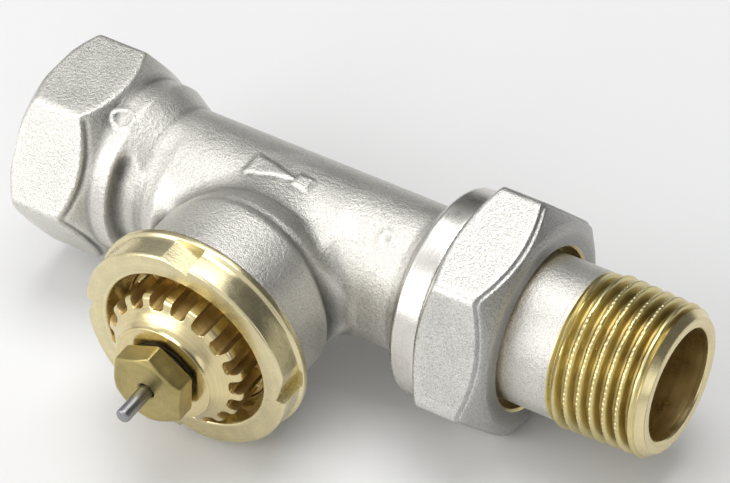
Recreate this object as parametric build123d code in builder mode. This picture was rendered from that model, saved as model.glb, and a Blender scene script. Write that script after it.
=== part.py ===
from build123d import *

import math
import os

# A straight DN 15 radiator valve body that takes a thermostatic head.
# Millimetres. The flow runs along +X from the inlet mouth at the origin, the spindle points
# along -Y, and +Z is up. "Height" below is a distance from the flow axis along the spindle.

# Overall sizes
body_length = 66.0
tail_length = 29.0
branch_x = 37.2
branch_height = 21.0

# Clearances
press_gap = 0.02
running_gap = 0.05
thread_gap = 0.08
face_gap = 0.03

# Working margins: how far a cut runs past the face it opens, how far a joined solid runs into
# its neighbour, and how far a trimming outline stays outside the corners that it leaves alone
overcut = 1.0
overlap = 0.2
trim_margin = 0.01

# Inlet socket, Rp 1/2, with the internal thread as a plain bore at its minor diameter
inlet_thread_r = 9.316
inlet_thread_length = 14.0
inlet_hex_flats = 26.0
inlet_hex_length = 10.6
inlet_hex_chamfer = 0.9

# Forged barrel
socket_collar_r = 12.0
socket_collar_end = 14.7
taper_length = 3.6
barrel_r = 10.1
flow_r = 7.5
duct_r = 7.0
duct_end = 9.5
duct_overrun = 1.2
bridge_thickness = 2.0
bridge_top = 1.2

# Male union thread on the outlet, G 3/4, as a plain cylinder at its major diameter
union_thread_r = 13.22
union_thread_length = 5.3
union_shoulder = 1.4
union_end_chamfer = 0.8

# Branch and valve seat
branch_r = 13.6
branch_base_r = 9.5
branch_root_r = 12.4
branch_root_drop = 1.1
branch_shoulder_rise = 2.9
spigot_r = 10.9
spigot_length = 1.3
chamber_r = 7.8
seat_bore_r = 4.8
seat_lip_width = 1.0
seat_lip_height = 0.6

# Snap collar for the thermostatic head
collar_r = 15.4
collar_lip_r = 15.85
collar_lip_length = 1.3
collar_lip_bevel = 0.5
collar_step = 0.4
collar_height = 5.2
collar_mouth_r = 12.1
collar_edge_chamfer = 0.35
collar_throat_rise = 0.4
notch_count = 4
notch_width = 3.2
notch_depth = 1.1

# Bonnet with its ring of locking teeth
bonnet_thread_r = 9.0
bonnet_nose_length = 1.4
bonnet_nose_gap = 0.6
disc_lift_gap = 1.2
tooth_count = 18
tooth_tip_r = 10.3
tooth_depth = 1.2
tooth_rise = 7.4
tooth_root_rise = 0.8
tooth_bevel = 0.6
tooth_gap_share = 0.6
tooth_gap_offset = 0.6
neck_r = 7.2
neck_rise = 9.9
neck_edge = 0.4
cove_r = 5.0
spring_chamber_r = 5.6
bush_bore_depth = 4.9
bonnet_web = 1.5
bonnet_seal_drop = 1.0

# Gland nut, 10 mm across flats, with its shank thread as a plain cylinder
gland_flats = 10.0
gland_hex_height = 3.2
gland_corner_turn = 24.0
gland_top_bevel = 0.5
gland_face_inset = 0.1
gland_shank_wall = 1.5
gland_shank_length = 6.0
gland_bore_depth = 6.9
gland_roof = 2.5
gland_face_gap = 0.6

# Pressure pin and spindle
pin_r = 1.0
pin_rise = 9.0
pin_tip_round = 0.4
pin_socket_depth = 1.5
spindle_r = 2.0
spindle_top_drop = 0.6
spindle_bottom = 2.4
disc_stud_r = 1.5
valve_stroke = 2.4
closing_gap = 0.05

# Spring set
spring_seat_thickness = 0.8
spring_plate_thickness = 0.7
clip_thickness = 0.5
clip_width = 1.9
clip_groove_depth = 0.5
spring_wire_r = 0.45
spring_side_gap = 0.85
spring_turns = 3.5
spring_plate_gap = 0.3

# Disc set
cup_r = 6.4
cup_wall = 0.5
cup_floor = 1.6
cup_rim_drop = 0.4
cup_bevel_height = 0.8
cup_bevel_width = 2.0
disc_thickness = 1.7
disc_washer_r = 3.2
disc_washer_thickness = 0.6
disc_nut_flats = 5.0
disc_nut_inset = 0.2

# O-ring section radii
pin_seal_r = 0.70
gland_seal_r = 0.30
bonnet_seal_r = 0.60
spindle_seal_r = 0.75
tail_seal_r = 0.80

# Union nut, 30 mm across flats, with its thread as a plain bore
nut_length = 14.4
nut_engagement = 5.6
nut_flat_wall = 1.7
nut_band_wall = 0.9
nut_band_length = 4.3
nut_back_bevel = 1.4
nut_face_inset = 0.8
nut_chamfer_angle = 30.0
nut_end_wall = 4.0
nut_shoulder_width = 0.85
nut_corner_turn = 49.0

# Tailpiece, R 1/2, with the external thread as a plain cylinder at its gauge diameter
tail_thread_r = 10.478
tail_thread_length = 13.4
tail_shank_r = 10.15
tail_shank_end = 14.5
union_thread_depth = 1.162
tail_bore_r = 7.6
tail_mouth_r = 9.1
tail_end_chamfer = 1.0

os.makedirs("parts", exist_ok=True)

spindle_axis = Axis(origin=(branch_x, 0, 0), direction=(0, -1, 0))
spindle_section = Plane(origin=(branch_x, 0, 0), x_dir=(1, 0, 0), z_dir=(0, 0, -1))


def across_spindle(height):
    """The plane square to the spindle at a height, with +Z up in it."""
    return Plane(origin=(branch_x, -height, 0), x_dir=(1, 0, 0), z_dir=(0, -1, 0))


def across_flow(x):
    """The plane square to the flow at x."""
    return Plane.YZ.offset(x)


def turn_on_spindle(points, mode=Mode.ADD):
    """Turn an outline of (radius, height) points about the spindle axis."""
    with BuildSketch(spindle_section) as outline:
        with BuildLine():
            Polyline(*points, close=True)
        make_face()
    revolve(outline.sketch, axis=spindle_axis, mode=mode)


def turn_on_flow(points, mode=Mode.ADD):
    """Turn an outline of (x, radius) points about the flow axis."""
    with BuildSketch(Plane.XY) as outline:
        with BuildLine():
            Polyline(*points, close=True)
        make_face()
    revolve(outline.sketch, axis=Axis.X, mode=mode)


def ring_on_spindle(inner_r, outer_r, low, high, mode=Mode.ADD):
    """A plain ring, or a disc where the inner radius is 0, about the spindle axis."""
    turn_on_spindle([(inner_r, low), (outer_r, low), (outer_r, high), (inner_r, high)], mode)


def o_ring_on_spindle(middle_r, section_r, height):
    """An O-ring about the spindle axis."""
    with BuildSketch(spindle_section) as outline:
        with Locations((middle_r, height)):
            Circle(section_r)
    revolve(outline.sketch, axis=spindle_axis)


def hexagon(plane, flats, length, turn=0.0, mode=Mode.ADD):
    """A hexagonal prism that starts on a plane."""
    with BuildSketch(plane) as outline:
        RegularPolygon(radius=flats / 2, side_count=6, major_radius=False, rotation=turn)
    extrude(outline.sketch, amount=length, mode=mode)


def finish(builder, name):
    """Name a finished piece and write it."""
    builder.part.label = name
    export_step(builder.part, f"parts/{name}.step")


# Sizes and places that follow from the ones above
overall_length = body_length + tail_length
taper_end = socket_collar_end + taper_length
thread_start = body_length - union_thread_length
seat_top = bridge_top + seat_lip_height
branch_root_height = barrel_r - branch_root_drop
branch_shoulder_height = barrel_r + branch_shoulder_rise
spigot_top = branch_height + spigot_length
collar_top = branch_height + collar_height
collar_throat_r = spigot_r + press_gap

disc_face = seat_top + valve_stroke + closing_gap
cup_bottom = disc_face + cup_rim_drop
cup_top = disc_face + disc_thickness + cup_floor
bonnet_nose_height = cup_top + disc_lift_gap
bonnet_nose_r = chamber_r - bonnet_nose_gap
bonnet_thread_start = bonnet_nose_height + bonnet_nose_length
tooth_top_height = branch_height + tooth_rise
neck_height = branch_height + neck_rise
gland_bore_bottom = neck_height - gland_bore_depth
bush_bore_top = gland_bore_bottom - bonnet_web
bush_bore_r = spindle_r + running_gap + 2 * spindle_seal_r + press_gap
spring_chamber_top = bush_bore_top - bush_bore_depth

gland_cavity_r = pin_r + running_gap + 2 * pin_seal_r + press_gap
gland_shank_r = gland_cavity_r + gland_shank_wall
gland_underside = neck_height + gland_face_gap
gland_top = gland_underside + gland_hex_height
gland_shank_bottom = gland_underside - gland_shank_length
pin_tip_height = neck_height + pin_rise
spindle_top = gland_bore_bottom - spindle_top_drop
pin_seat_height = spindle_top - pin_socket_depth

clip_r = spindle_r + clip_width - clip_groove_depth
clip_groove_r = spindle_r - clip_groove_depth
plate_top = spring_chamber_top - closing_gap - clip_thickness
plate_bottom = plate_top - spring_plate_thickness
spring_bottom = bonnet_nose_height + spring_seat_thickness
spring_coil_r = spring_chamber_r - spring_side_gap - spring_wire_r

nut_bore_r = union_thread_r + thread_gap
nut_flats = 2 * (nut_bore_r + nut_flat_wall)
nut_band_r = nut_bore_r + nut_band_wall
nut_start = body_length - nut_engagement
nut_end = nut_start + nut_length
nut_shoulder_x = nut_end - nut_end_wall
tail_collar_r = union_thread_r - union_thread_depth - thread_gap - face_gap
nut_hole_r = tail_collar_r - nut_shoulder_width
tail_start = body_length + face_gap


# Forged body: hexagon socket, barrel, branch and union thread in one piece
with BuildPart() as valve_body:
    hexagon(across_flow(0), inlet_hex_flats, inlet_hex_length)
    hex_corner_r = inlet_hex_flats / math.sqrt(3)
    turn_on_flow(
        [
            (0, 0),
            (0, hex_corner_r - inlet_hex_chamfer),
            (inlet_hex_chamfer, hex_corner_r + trim_margin),
            (inlet_hex_length - hex_corner_r + inlet_hex_flats / 2, hex_corner_r + trim_margin),
            (inlet_hex_length, inlet_hex_flats / 2),
            (inlet_hex_length, 0),
        ],
        mode=Mode.INTERSECT,
    )
    turn_on_flow(
        [
            (inlet_hex_length - overcut, 0),
            (inlet_hex_length - overcut, socket_collar_r),
            (socket_collar_end, socket_collar_r),
            (taper_end, barrel_r),
            (thread_start - union_shoulder, barrel_r),
            (thread_start, union_thread_r),
            (body_length - union_end_chamfer, union_thread_r),
            (body_length, union_thread_r - union_end_chamfer),
            (body_length, 0),
        ]
    )
    turn_on_spindle(
        [
            (0, 0),
            (branch_base_r, 0),
            (branch_root_r, branch_root_height),
            (branch_r, branch_shoulder_height),
            (branch_r, branch_height),
            (0, branch_height),
        ]
    )
    ring_on_spindle(0, spigot_r, branch_height, spigot_top)
    # Threaded inlet bore, the flow passage up to the bridge, and the outlet passage
    turn_on_flow(
        [
            (-overcut, 0),
            (-overcut, inlet_thread_r),
            (inlet_thread_length, inlet_thread_r),
            (inlet_thread_length, 0),
        ],
        mode=Mode.SUBTRACT,
    )
    turn_on_flow(
        [(overcut, 0), (overcut, flow_r), (branch_x - duct_end, flow_r), (branch_x - duct_end, 0)],
        mode=Mode.SUBTRACT,
    )
    turn_on_flow(
        [
            (branch_x + duct_end, 0),
            (branch_x + duct_end, flow_r),
            (body_length + overcut, flow_r),
            (body_length + overcut, 0),
        ],
        mode=Mode.SUBTRACT,
    )
    # Half-round ducts below and above the bridge that carries the seat
    with BuildSketch(across_flow(branch_x - duct_end - overlap)) as lower_duct:
        Circle(duct_r)
        with Locations((bridge_thickness - bridge_top - flow_r, 0)):
            Rectangle(2 * flow_r, 3 * flow_r, mode=Mode.SUBTRACT)
    extrude(lower_duct.sketch, amount=duct_end + seat_bore_r + duct_overrun, mode=Mode.SUBTRACT)
    with BuildSketch(across_flow(branch_x)) as upper_duct:
        Circle(duct_r)
        with Locations((flow_r - bridge_top, 0)):
            Rectangle(2 * flow_r, 3 * flow_r, mode=Mode.SUBTRACT)
    extrude(upper_duct.sketch, amount=duct_end + overlap, mode=Mode.SUBTRACT)
    # Valve chamber, bonnet thread and the seat with its raised lip
    ring_on_spindle(0, chamber_r, bridge_top, bonnet_thread_start, mode=Mode.SUBTRACT)
    bonnet_bore_r = bonnet_thread_r + running_gap
    ring_on_spindle(0, bonnet_bore_r, bonnet_thread_start, spigot_top + overcut, mode=Mode.SUBTRACT)
    ring_on_spindle(
        seat_bore_r, seat_bore_r + seat_lip_width, bridge_top - overlap, seat_top, mode=Mode.ADD
    )
    bridge_bottom = bridge_top - bridge_thickness
    ring_on_spindle(0, seat_bore_r, bridge_bottom - overcut, seat_top + overlap, mode=Mode.SUBTRACT)
finish(valve_body, "valve_body")


# Snap collar: a stepped ring with a bevelled mouth and four notches across its rim
with BuildPart() as head_collar:
    turn_on_spindle(
        [
            (collar_throat_r, branch_height),
            (collar_lip_r - collar_lip_bevel, branch_height),
            (collar_lip_r, branch_height + collar_lip_bevel),
            (collar_lip_r, branch_height + collar_lip_length),
            (collar_r, branch_height + collar_lip_length + collar_step),
            (collar_r, collar_top - collar_edge_chamfer),
            (collar_r - collar_edge_chamfer, collar_top),
            (collar_mouth_r, collar_top),
            (collar_throat_r, spigot_top + collar_throat_rise),
        ]
    )
    with BuildSketch(across_spindle(branch_height + collar_lip_length)) as notches:
        with PolarLocations(collar_r, notch_count):
            Rectangle(2 * notch_depth, notch_width)
    extrude(notches.sketch, amount=collar_height, mode=Mode.SUBTRACT)
finish(head_collar, "head_collar")


# Bonnet: threaded skirt, tooth ring, coved neck and the stepped bore
seal_groove_r = bonnet_thread_r - 2 * bonnet_seal_r
seal_height = branch_height - bonnet_seal_drop
with BuildPart() as bonnet:
    turn_on_spindle(
        [
            (0, bonnet_nose_height),
            (bonnet_nose_r, bonnet_nose_height),
            (bonnet_nose_r, bonnet_thread_start),
            (bonnet_thread_r, bonnet_thread_start),
            (bonnet_thread_r, spigot_top),
            (tooth_tip_r, spigot_top),
            (tooth_tip_r, tooth_top_height - tooth_bevel),
            (tooth_tip_r - tooth_bevel, tooth_top_height),
            (0, tooth_top_height),
        ]
    )
    with BuildSketch(spindle_section) as neck_outline:
        with BuildLine():
            cove_start = (tooth_tip_r - tooth_bevel, tooth_top_height)
            cove_end = (neck_r, neck_height - neck_edge)
            RadiusArc(cove_start, cove_end, -cove_r)
            Polyline(cove_end, (neck_r, neck_height), (0, neck_height), (0, tooth_top_height), cove_start)
        make_face()
    revolve(neck_outline.sketch, axis=spindle_axis)
    gap_width = 2 * math.pi * tooth_tip_r / tooth_count * tooth_gap_share
    with BuildSketch(across_spindle(spigot_top + tooth_root_rise)) as tooth_gaps:
        with PolarLocations(tooth_tip_r + tooth_gap_offset, tooth_count, start_angle=180 / tooth_count):
            SlotCenterToCenter(2 * tooth_depth, gap_width)
    extrude(tooth_gaps.sketch, amount=tooth_rise, mode=Mode.SUBTRACT)
    turn_on_spindle(
        [
            (seal_groove_r, seal_height - bonnet_seal_r),
            (bonnet_thread_r + overcut, seal_height - bonnet_seal_r),
            (bonnet_thread_r + overcut, seal_height + bonnet_seal_r),
            (seal_groove_r, seal_height + bonnet_seal_r),
        ],
        mode=Mode.SUBTRACT,
    )
    # Stepped bore, from the spring chamber through the bush and the spindle's hole to the gland nut
    for bore_r, bore_start, bore_end in (
        (spring_chamber_r, bonnet_nose_height - overcut, spring_chamber_top),
        (bush_bore_r, spring_chamber_top - overcut, bush_bore_top),
        (spindle_r + 2 * running_gap, bush_bore_top - overcut, gland_bore_bottom),
        (gland_shank_r + running_gap, gland_bore_bottom, neck_height + overcut),
    ):
        ring_on_spindle(0, bore_r, bore_start, bore_end, mode=Mode.SUBTRACT)
finish(bonnet, "bonnet")


with BuildPart() as bonnet_o_ring:
    o_ring_on_spindle(bonnet_thread_r - bonnet_seal_r, bonnet_seal_r - press_gap, seal_height)
finish(bonnet_o_ring, "bonnet_o_ring")


# Gland nut: hexagon with a chamfered top, hollow shank and the pin's hole
with BuildPart() as gland_nut:
    hexagon(across_spindle(gland_underside), gland_flats, gland_hex_height, turn=gland_corner_turn)
    gland_corner_r = gland_flats / math.sqrt(3)
    turn_on_spindle(
        [
            (0, gland_underside),
            (gland_corner_r + trim_margin, gland_underside),
            (gland_corner_r + trim_margin, gland_top - gland_top_bevel),
            (gland_flats / 2 - gland_face_inset, gland_top),
            (0, gland_top),
        ],
        mode=Mode.INTERSECT,
    )
    ring_on_spindle(0, gland_shank_r, gland_shank_bottom, gland_underside)
    cavity_top = gland_top - gland_roof
    ring_on_spindle(0, gland_cavity_r, gland_shank_bottom - overcut, cavity_top, mode=Mode.SUBTRACT)
    ring_on_spindle(0, pin_r + running_gap, gland_underside, gland_top + overcut, mode=Mode.SUBTRACT)
finish(gland_nut, "gland_nut")


with BuildPart() as gland_face_o_ring:
    gland_seal_middle_r = gland_shank_r + gland_seal_r + press_gap
    o_ring_on_spindle(gland_seal_middle_r, gland_seal_r - press_gap / 2, neck_height + gland_seal_r)
finish(gland_face_o_ring, "gland_face_o_ring")


pin_seal_height = gland_top - gland_roof - pin_seal_r - press_gap
with BuildPart() as pin_o_ring:
    o_ring_on_spindle(pin_r + running_gap + pin_seal_r, pin_seal_r - press_gap / 2, pin_seal_height)
finish(pin_o_ring, "pin_o_ring")


with BuildPart() as pin_guide_bush:
    ring_on_spindle(
        pin_r + running_gap,
        gland_cavity_r - press_gap,
        gland_shank_bottom,
        pin_seal_height - pin_seal_r - press_gap,
    )
finish(pin_guide_bush, "pin_guide_bush")


spindle_seal_height = bush_bore_top - spindle_seal_r - press_gap
with BuildPart() as spindle_o_ring:
    o_ring_on_spindle(
        spindle_r + running_gap + spindle_seal_r, spindle_seal_r - press_gap / 2, spindle_seal_height
    )
finish(spindle_o_ring, "spindle_o_ring")


with BuildPart() as spindle_guide_bush:
    ring_on_spindle(
        spindle_r + running_gap,
        bush_bore_r - press_gap,
        spring_chamber_top + press_gap,
        spindle_seal_height - spindle_seal_r - press_gap,
    )
finish(spindle_guide_bush, "spindle_guide_bush")


# Washer pressed into the bonnet's nose that the spring stands on
with BuildPart() as spring_seat:
    ring_on_spindle(
        spindle_r + 2 * running_gap,
        spring_chamber_r - press_gap,
        bonnet_nose_height,
        spring_bottom,
    )
finish(spring_seat, "spring_seat")


# Return spring: a closed helix between the seat washer and the spring plate
spring_length = plate_bottom - spring_bottom - 2 * (spring_wire_r + face_gap)
with BuildPart() as return_spring:
    with BuildLine() as coil:
        Helix(
            pitch=spring_length / spring_turns,
            height=spring_length,
            radius=spring_coil_r,
            center=(branch_x, -(spring_bottom + spring_wire_r + face_gap), 0),
            direction=(0, -1, 0),
        )
    with BuildSketch(Plane(origin=coil.line @ 0, z_dir=coil.line % 0)):
        Circle(spring_wire_r)
    sweep(path=coil.line, is_frenet=True)
finish(return_spring, "return_spring")


with BuildPart() as spring_plate:
    ring_on_spindle(spindle_r, spring_chamber_r - spring_plate_gap, plate_bottom, plate_top)
finish(spring_plate, "spring_plate")


# Open spring clip in the spindle's groove above the spring plate
with BuildPart() as retaining_clip:
    ring_on_spindle(clip_groove_r + press_gap, clip_r, plate_top, plate_top + clip_thickness)
    with BuildSketch(across_spindle(plate_top - overcut)) as clip_mouth:
        with Locations((clip_r, 0)):
            Rectangle(2 * clip_r, 2 * clip_groove_r)
    extrude(clip_mouth.sketch, amount=clip_thickness + 2 * overcut, mode=Mode.SUBTRACT)
finish(retaining_clip, "retaining_clip")


# Spindle: a rod with the pin's socket, the clip's groove and a smaller end for the disc set
with BuildPart() as spindle:
    turn_on_spindle(
        [
            (0, spindle_bottom),
            (disc_stud_r, spindle_bottom),
            (disc_stud_r, cup_top),
            (spindle_r, cup_top),
            (spindle_r, plate_top),
            (clip_groove_r, plate_top),
            (clip_groove_r, plate_top + clip_thickness),
            (spindle_r, plate_top + clip_thickness),
            (spindle_r, spindle_top),
            (pin_r + press_gap, spindle_top),
            (pin_r + press_gap, pin_seat_height),
            (0, pin_seat_height),
        ]
    )
finish(spindle, "spindle")


with BuildPart() as pressure_pin:
    ring_on_spindle(0, pin_r, pin_seat_height, pin_tip_height)
    fillet(pressure_pin.edges().sort_by(Axis.Y)[0], radius=pin_tip_round)
finish(pressure_pin, "pressure_pin")


# Disc set: a cup with the rubber disc in it, held by a washer and a nut on the spindle's end
with BuildPart() as cone_holder:
    turn_on_spindle(
        [
            (disc_stud_r + press_gap, disc_face + disc_thickness),
            (cup_r - cup_wall, disc_face + disc_thickness),
            (cup_r - cup_wall, cup_bottom),
            (cup_r, cup_bottom),
            (cup_r, cup_top - cup_bevel_height),
            (cup_r - cup_bevel_width, cup_top),
            (disc_stud_r + press_gap, cup_top),
        ]
    )
finish(cone_holder, "cone_holder")


with BuildPart() as valve_disc:
    ring_on_spindle(
        disc_stud_r + press_gap, cup_r - cup_wall - press_gap, disc_face, disc_face + disc_thickness
    )
finish(valve_disc, "valve_disc")


with BuildPart() as disc_washer:
    ring_on_spindle(disc_stud_r + press_gap, disc_washer_r, disc_face - disc_washer_thickness, disc_face)
finish(disc_washer, "disc_washer")


with BuildPart() as disc_nut:
    disc_nut_bottom = spindle_bottom + disc_nut_inset
    disc_nut_height = disc_face - disc_washer_thickness - disc_nut_bottom
    hexagon(across_spindle(disc_nut_bottom), disc_nut_flats, disc_nut_height)
    ring_on_spindle(0, disc_stud_r + press_gap, spindle_bottom, disc_face, mode=Mode.SUBTRACT)
finish(disc_nut, "disc_nut")


# Union nut: a turned band, a chamfered hexagon, and a bore with a shoulder behind the tail's collar
with BuildPart() as union_nut:
    hex_start = nut_start + nut_band_length
    hexagon(across_flow(hex_start), nut_flats, nut_length - nut_band_length, turn=180 - nut_corner_turn)
    band_end = hex_start + overlap
    nut_corner_r = nut_flats / math.sqrt(3)
    corner_drop = (nut_corner_r - nut_flats / 2 + nut_face_inset) * math.tan(math.radians(nut_chamfer_angle))
    turn_on_flow(
        [
            (hex_start, 0),
            (hex_start, nut_flats / 2),
            (hex_start + nut_back_bevel, nut_corner_r + trim_margin),
            (nut_end - corner_drop, nut_corner_r + trim_margin),
            (nut_end, nut_flats / 2 - nut_face_inset),
            (nut_end, 0),
        ],
        mode=Mode.INTERSECT,
    )
    turn_on_flow(
        [(nut_start, 0), (nut_start, nut_band_r), (band_end, nut_band_r), (band_end, 0)]
    )
    turn_on_flow(
        [
            (nut_start - overcut, 0),
            (nut_start - overcut, nut_bore_r),
            (nut_shoulder_x, nut_bore_r),
            (nut_shoulder_x, nut_hole_r),
            (nut_end + overcut, nut_hole_r),
            (nut_end + overcut, 0),
        ],
        mode=Mode.SUBTRACT,
    )
finish(union_nut, "union_nut")


# Tailpiece: a collar inside the nut, a plain shank and the taper thread as a cylinder
seal_middle_r = (flow_r + tail_collar_r) / 2
with BuildPart() as tailpiece:
    turn_on_flow(
        [
            (tail_start, tail_bore_r),
            (tail_start, tail_collar_r),
            (nut_shoulder_x - face_gap, tail_collar_r),
            (nut_shoulder_x - face_gap, tail_shank_r),
            (overall_length - tail_shank_end, tail_shank_r),
            (overall_length - tail_thread_length, tail_thread_r),
            (overall_length - tail_end_chamfer, tail_thread_r),
            (overall_length, tail_mouth_r),
            (overall_length, tail_bore_r),
        ]
    )
    turn_on_flow(
        [
            (tail_start - overcut, seal_middle_r - tail_seal_r - press_gap),
            (tail_start - overcut, seal_middle_r + tail_seal_r + press_gap),
            (tail_start + 2 * tail_seal_r, seal_middle_r + tail_seal_r + press_gap),
            (tail_start + 2 * tail_seal_r, seal_middle_r - tail_seal_r - press_gap),
        ],
        mode=Mode.SUBTRACT,
    )
finish(tailpiece, "tailpiece")


with BuildPart() as tail_o_ring:
    with BuildSketch(Plane.XY) as seal_section:
        with Locations((tail_start + tail_seal_r, seal_middle_r)):
            Circle(tail_seal_r - press_gap)
    revolve(seal_section.sketch, axis=Axis.X)
finish(tail_o_ring, "tail_o_ring")
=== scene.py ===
import math

import bmesh
import bpy
import numpy as np
import openvdb
from mathutils import Matrix, Vector


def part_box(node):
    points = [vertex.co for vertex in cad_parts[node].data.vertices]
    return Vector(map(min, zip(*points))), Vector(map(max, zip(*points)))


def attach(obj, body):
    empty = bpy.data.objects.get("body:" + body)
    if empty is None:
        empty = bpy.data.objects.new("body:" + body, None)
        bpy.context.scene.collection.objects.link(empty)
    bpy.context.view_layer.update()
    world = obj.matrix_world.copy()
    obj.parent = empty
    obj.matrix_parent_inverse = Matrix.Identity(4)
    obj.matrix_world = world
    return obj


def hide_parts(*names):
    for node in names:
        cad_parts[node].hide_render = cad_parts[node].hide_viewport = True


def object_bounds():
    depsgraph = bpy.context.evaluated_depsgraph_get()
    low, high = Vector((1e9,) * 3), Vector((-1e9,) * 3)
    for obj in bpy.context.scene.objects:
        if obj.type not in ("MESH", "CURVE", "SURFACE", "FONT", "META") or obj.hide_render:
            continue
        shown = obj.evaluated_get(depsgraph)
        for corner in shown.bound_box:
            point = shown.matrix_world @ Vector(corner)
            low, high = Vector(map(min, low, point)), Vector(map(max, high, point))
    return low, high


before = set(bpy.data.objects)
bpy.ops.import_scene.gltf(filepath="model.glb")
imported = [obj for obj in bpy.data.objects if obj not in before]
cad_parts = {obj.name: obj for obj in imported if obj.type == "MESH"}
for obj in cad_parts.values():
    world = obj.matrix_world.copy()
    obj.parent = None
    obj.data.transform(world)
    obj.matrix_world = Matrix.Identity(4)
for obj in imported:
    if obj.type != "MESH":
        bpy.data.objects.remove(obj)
cad_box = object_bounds()
MM = 0.001

# ---------------------------------------------------------------- places from the CAD model, in mm


def low(node):
    return np.array(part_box(node)[0]) / MM


def high(node):
    return np.array(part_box(node)[1]) / MM


branch_x = (low("pressure_pin")[0] + high("pressure_pin")[0]) / 2
body_end = high("valve_body")[0]
tail_end = high("tailpiece")[0]
tail_start = low("tailpiece")[0]
nut_start, nut_end = low("union_nut")[0], high("union_nut")[0]
collar_back, collar_front = -high("head_collar")[1], -low("head_collar")[1]
spigot_top = -low("valve_body")[1]
neck_front = -low("bonnet")[1]
bonnet_back = -high("bonnet")[1]
gland_top = -low("gland_nut")[1]
gland_back = -high("gland_nut")[1]
bonnet_tip_r = (high("bonnet")[0] - low("bonnet")[0]) / 2
collar_lip_r = (high("head_collar")[0] - low("head_collar")[0]) / 2
tail_collar_r = (high("tailpiece")[2] - low("tailpiece")[2]) / 2
floor_z = cad_box[0][2]

# ---------------------------------------------------------------- sizes shared by the pieces, in mm
PITCH = 25.4 / 14
THREAD_DEPTH = 0.6403 * PITCH
TAPER = 1 / 32
HALF_INCH_R = 20.955 / 2
THREE_QUARTER_R = 26.441 / 2
GAUGE_LENGTH = 8.2
BARREL_R = 10.1
FLOW_R = 7.5
DUCT_R = 7.0
HEX_FLATS = 26.0
HEX_LENGTH = 10.6
NEAR_SIDE_TURN = math.radians(60)
SOCKET_COLLAR_R = 12.0
SOCKET_COLLAR_END = 14.7
TAPER_END = 18.3
BRANCH_R = 13.5
BRANCH_GROOVE_R = 14.25
TAIL_BORE_R = 7.6
TAIL_MOUTH_R = 9.1
CHAMBER_R = 7.8
BONNET_BORE_R = 9.05
SPIGOT_R = 10.88
COLLAR_BORE_R = 10.92
RIM_R = 15.4
SHANK_R = 10.15
TAIL_THREAD_LENGTH = 13.6
GLAND_FLATS = 10.0
GLAND_TURN = math.radians(24)
BRIDGE_TOP = 1.2
BRIDGE_THICKNESS = 2.0
DUCT_END = 9.5
SEAT_BORE_R = 4.8
NUT_FLATS = 30.0
NUT_CORNER_TURN = math.radians(49)
NUT_BAND_R = 14.2
NUT_BAND_LENGTH = 4.3
NUT_END_WALL = 4.0
NUT_HOLE_R = 11.1
NECK_R = 7.2
TEETH = 18
NOTCHES = 84


# ---------------------------------------------------------------- mesh helpers


def make_object(name, mesh, material=None):
    piece = bpy.data.objects.new(name, mesh)
    bpy.context.scene.collection.objects.link(piece)
    if material:
        mesh.materials.append(material)
    return piece


def outward(mesh, sharp_degrees=32):
    """Turns all faces outward and shades them smooth between sharp edges."""
    work = bmesh.new()
    work.from_mesh(mesh)
    bmesh.ops.recalc_face_normals(work, faces=work.faces)
    limit = math.radians(sharp_degrees)
    for face in work.faces:
        face.smooth = True
    for edge in work.edges:
        edge.smooth = not (edge.is_manifold and edge.calc_face_angle(0.0) > limit)
    work.to_mesh(mesh)
    work.free()


def lattice_mesh(name, points, close_rows=True):
    """A closed skin over a lattice of points [row, column, xyz] in mm. Columns go round."""
    rows, columns = points.shape[:2]
    index = np.arange(rows * columns).reshape(rows, columns)
    if close_rows:
        index = np.vstack([index, index[:1]])
    a = index[:-1, :]
    b = index[1:, :]
    quads = np.stack([a, np.roll(a, -1, 1), np.roll(b, -1, 1), b], -1).reshape(-1, 4)
    verts = (points.reshape(-1, 3) * MM).tolist()
    faces = quads.tolist()
    if not close_rows:
        faces.append(index[0].tolist()[::-1])
        faces.append(index[-1].tolist())
    mesh = bpy.data.meshes.new(name)
    mesh.from_pydata(verts, [], faces)
    outward(mesh)
    return mesh


def on_flow(along, radius, turn):
    """Points about the flow axis. The turn starts at -Y and goes towards +Z."""
    return np.stack([along, -radius * np.cos(turn), radius * np.sin(turn)], -1)


def on_spindle(along, radius, turn):
    """Points about the spindle axis, along is the height above the flow axis."""
    return np.stack([branch_x + radius * np.cos(turn), -along, radius * np.sin(turn)], -1)


def rounded(outline, radius, steps=3):
    """An outline of (along, radius) points with each corner rounded. It is taken as closed."""
    made = []
    count = len(outline)
    for i, corner in enumerate(outline):
        before, after = np.array(outline[i - 1]), np.array(outline[(i + 1) % count])
        corner = np.array(corner[:2], float)
        before, after = before[:2].astype(float), after[:2].astype(float)
        size = radius if len(outline[i]) < 3 else outline[i][2]
        to_before, to_after = before - corner, after - corner
        reach = min(size, 0.45 * np.linalg.norm(to_before), 0.45 * np.linalg.norm(to_after))
        start = corner + to_before / np.linalg.norm(to_before) * reach
        end = corner + to_after / np.linalg.norm(to_after) * reach
        for k in range(steps + 1):
            t = k / steps
            made.append((1 - t) ** 2 * start + 2 * t * (1 - t) * corner + t**2 * end)
    return np.array(made)


def lathe(name, outline, place, segments=192, shape=None, edge=0.15, close_rows=True, raw=False):
    """Turns a closed outline about an axis. shape(along, radius, turn) may change the radius."""
    points = np.array(outline, float) if raw else rounded(outline, edge)
    turn = np.linspace(0, 2 * math.pi, segments, endpoint=False)
    along = np.repeat(points[:, :1], segments, 1)
    radius = np.repeat(points[:, 1:2], segments, 1)
    turns = np.repeat(turn[None, :], len(points), 0)
    if shape:
        radius = shape(along, radius, turns)
    return lattice_mesh(name, place(along, radius, turns), close_rows)


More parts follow.
